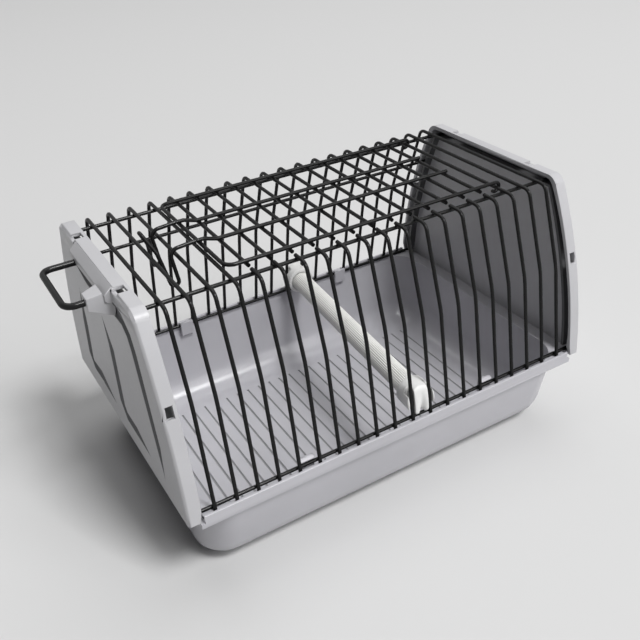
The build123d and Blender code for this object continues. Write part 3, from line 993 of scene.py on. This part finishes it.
# %% [markdown]
# ## The perch
# The perch is drawn through a die that leaves narrow flutes between rounded lands, which
# give a bird's toes some hold. Cutting 32 flutes from a rod would be slow. Its section
# is a circle whose radius drops by the square of one minus a rectified sine, so Geometry
# Nodes draws that and sweeps it along.


# %% Build the perch tree
def perch_tree():
    """A tree that flutes a circle and sweeps it along a line."""
    tree = bpy.data.node_groups.new("fluted rod", "GeometryNodeTree")
    tree.interface.new_socket("Geometry", in_out="INPUT", socket_type="NodeSocketGeometry")
    add_input(tree, "Rod Radius", "NodeSocketFloat", 6 * MM)
    add_input(tree, "Flute Depth", "NodeSocketFloat", 0.55 * MM)
    add_input(tree, "Flutes", "NodeSocketInt", 32)
    add_input(tree, "Finish", "NodeSocketMaterial", None)
    tree.interface.new_socket("Geometry", in_out="OUTPUT", socket_type="NodeSocketGeometry")
    given = add_node(tree, "NodeGroupInput").outputs
    line = add_node(tree, "GeometryNodeMeshToCurve")
    ring = add_node(tree, "GeometryNodeCurvePrimitiveCircle", {"Resolution": 256}, mode="RADIUS")
    where = add_node(tree, "GeometryNodeSplineParameter")
    turns = add_node(tree, "ShaderNodeMath", operation="MULTIPLY")
    angle = add_node(tree, "ShaderNodeMath", {1: 2 * pi}, operation="MULTIPLY")
    wave = add_node(tree, "ShaderNodeMath", operation="SINE")
    crest = add_node(tree, "ShaderNodeMath", operation="ABSOLUTE")
    below = add_node(tree, "ShaderNodeMath", {0: 1.0}, operation="SUBTRACT")
    size = add_node(tree, "ShaderNodeMath", {1: 2.0}, operation="POWER")
    depth = add_node(tree, "ShaderNodeMath", operation="DIVIDE")
    drop = add_node(tree, "ShaderNodeMath", operation="MULTIPLY")
    scale = add_node(tree, "ShaderNodeMath", {0: 1.0}, operation="SUBTRACT")
    point = add_node(tree, "GeometryNodeInputPosition")
    moved = add_node(tree, "ShaderNodeVectorMath", operation="SCALE")
    shape = add_node(tree, "GeometryNodeSetPosition")
    tube = add_node(tree, "GeometryNodeCurveToMesh", {"Fill Caps": True})
    smooth = add_node(tree, "GeometryNodeSetShadeSmooth")
    paint = add_node(tree, "GeometryNodeSetMaterial")
    result = add_node(tree, "NodeGroupOutput")
    half_turns = add_node(tree, "ShaderNodeMath", {1: 0.5}, operation="MULTIPLY")
    chain(
        tree,
        (given["Geometry"], line.inputs["Mesh"]),
        (given["Rod Radius"], ring.inputs["Radius"]),
        (given["Flutes"], half_turns.inputs[0]),
        (where.outputs["Factor"], turns.inputs[0]),
        (half_turns.outputs["Value"], turns.inputs[1]),
        (turns.outputs["Value"], angle.inputs[0]),
        (angle.outputs["Value"], wave.inputs[0]),
        (wave.outputs["Value"], crest.inputs[0]),
        (crest.outputs["Value"], below.inputs[1]),
        (below.outputs["Value"], size.inputs[0]),
        (given["Flute Depth"], depth.inputs[0]),
        (given["Rod Radius"], depth.inputs[1]),
        (size.outputs["Value"], drop.inputs[0]),
        (depth.outputs["Value"], drop.inputs[1]),
        (drop.outputs["Value"], scale.inputs[1]),
        (point.outputs["Position"], moved.inputs[0]),
        (scale.outputs["Value"], moved.inputs["Scale"]),
        (ring.outputs["Curve"], shape.inputs["Geometry"]),
        (moved.outputs["Vector"], shape.inputs["Position"]),
        (line.outputs["Curve"], tube.inputs["Curve"]),
        (shape.outputs["Geometry"], tube.inputs["Profile Curve"]),
        (tube.outputs["Mesh"], smooth.inputs["Geometry"]),
        (smooth.outputs["Geometry"], paint.inputs["Geometry"]),
        (given["Finish"], paint.inputs["Material"]),
        (paint.outputs["Geometry"], result.inputs["Geometry"]),
    )
    return tree


fluted_rod = perch_tree()
print("nodes in the perch tree:", len(fluted_rod.nodes))

# %% Sweep the perch
front_place, rear_place = 11.5, 12.5  # each cap grips the two wires beside its place
perch_z = 59.8
perch_front = Vector((wire_x(front_place), -wall_y(perch_z), perch_z))
perch_rear = Vector((wire_x(rear_place), wall_y(perch_z), perch_z))
perch_middle = (perch_front + perch_rear) / 2
perch_axis = (perch_rear - perch_front).normalized()
rod_reach = 71.2
rod_mesh = bpy.data.meshes.new("rod line")
rod_ends = [(perch_middle + side * rod_reach * perch_axis) * MM for side in (-1, 1)]
rod_mesh.from_pydata(rod_ends, [(0, 1)], [])
rod = grow(fluted_rod, rod_mesh, {"Finish": perch_white})
gather("fluted_perch", [rod], perch_white, "perch", "perch_plastic", "perch_rod")

# %% [markdown]
# ## Studio
# The photograph has an even pale ground and soft light from high in front. The shadow
# of the perch lies almost straight under it, and the left end is in shade. So one lamp
# hangs high in front, a wide one stands lower at the front right, the widest fills in
# from above and behind, and the sky stays dim. All three are far off, so that the ground
# is lit evenly.

# %% Lay the floor
floor_reach = 6.0
floor_grey = (0.62, 0.62, 0.62, 1)
floor_mesh = bpy.data.meshes.new("floor")
corner_signs = ((-1, -1), (1, -1), (1, 1), (-1, 1))
floor_corners = [(floor_reach * a, floor_reach * b, 0) for a, b in corner_signs]
floor_mesh.from_pydata(floor_corners, [], [(0, 1, 2, 3)])
floor = bpy.data.objects.new("floor", floor_mesh)
bpy.context.scene.collection.objects.link(floor)
matt = {"Roughness": 0.95, "Specular IOR Level": 0.0, "Base Color": floor_grey}
floor_mesh.materials.append(new_material("pale floor", matt)[0])
print("floor is", 2 * floor_reach, "m square")


# %% Hang the lamps
def softbox(name, place, target, size, power):
    """A rectangular lamp aimed at a point."""
    data = bpy.data.lights.new(name, "AREA")
    data.shape = "RECTANGLE"
    data.size, data.size_y = size
    data.energy = power
    lamp = bpy.data.objects.new(name, data)
    lamp.location = place
    lamp.rotation_euler = (Vector(target) - Vector(place)).to_track_quat("-Z", "Y").to_euler()
    bpy.context.scene.collection.objects.link(lamp)
    return lamp


cage_middle = (0, 0, 0.07)
lamps = [
    softbox("key", (1.2, -3.6, 6.0), cage_middle, size=(1.8, 1.8), power=360),
    softbox("front soft", (2.8, -5.0, 3.6), cage_middle, size=(3.5, 3.5), power=155),
    softbox("top soft", (0.8, 1.6, 5.0), cage_middle, size=(4.5, 4.5), power=130),
]
print("lamps:", [lamp.name for lamp in lamps])

# %% [markdown]
# The sky lights the scene only faintly. What the camera and clear or shiny surfaces see
# of it is a pale backdrop, chosen by the kind of ray.

# %% Paint the sky
sky_strength = 0.04
backdrop_grey = (0.66, 0.66, 0.66, 1)
world = bpy.data.worlds.new("studio")
bpy.context.scene.world = world
world.use_nodes = True
sky = world.node_tree
dim = sky.nodes["Background"]
dim.inputs["Color"].default_value = (1, 1, 1, 1)
dim.inputs["Strength"].default_value = sky_strength
pale = add_node(sky, "ShaderNodeBackground", {"Color": backdrop_grey, "Strength": 1.0})
ray = add_node(sky, "ShaderNodeLightPath")
seen = add_node(sky, "ShaderNodeMath", operation="MAXIMUM")
seen_through = add_node(sky, "ShaderNodeMath", operation="MAXIMUM")
backdrop = add_node(sky, "ShaderNodeMixShader")
chain(
    sky,
    (ray.outputs["Is Camera Ray"], seen.inputs[0]),
    (ray.outputs["Is Glossy Ray"], seen.inputs[1]),
    (seen.outputs["Value"], seen_through.inputs[0]),
    (ray.outputs["Is Transmission Ray"], seen_through.inputs[1]),
    (seen_through.outputs["Value"], backdrop.inputs["Fac"]),
    (dim.outputs["Background"], backdrop.inputs[1]),
    (pale.outputs["Background"], backdrop.inputs[2]),
    (backdrop.outputs["Shader"], sky.nodes["World Output"].inputs["Surface"]),
)
print("sky nodes:", len(sky.nodes))
bpy.context.scene.view_settings.view_transform = "Standard"
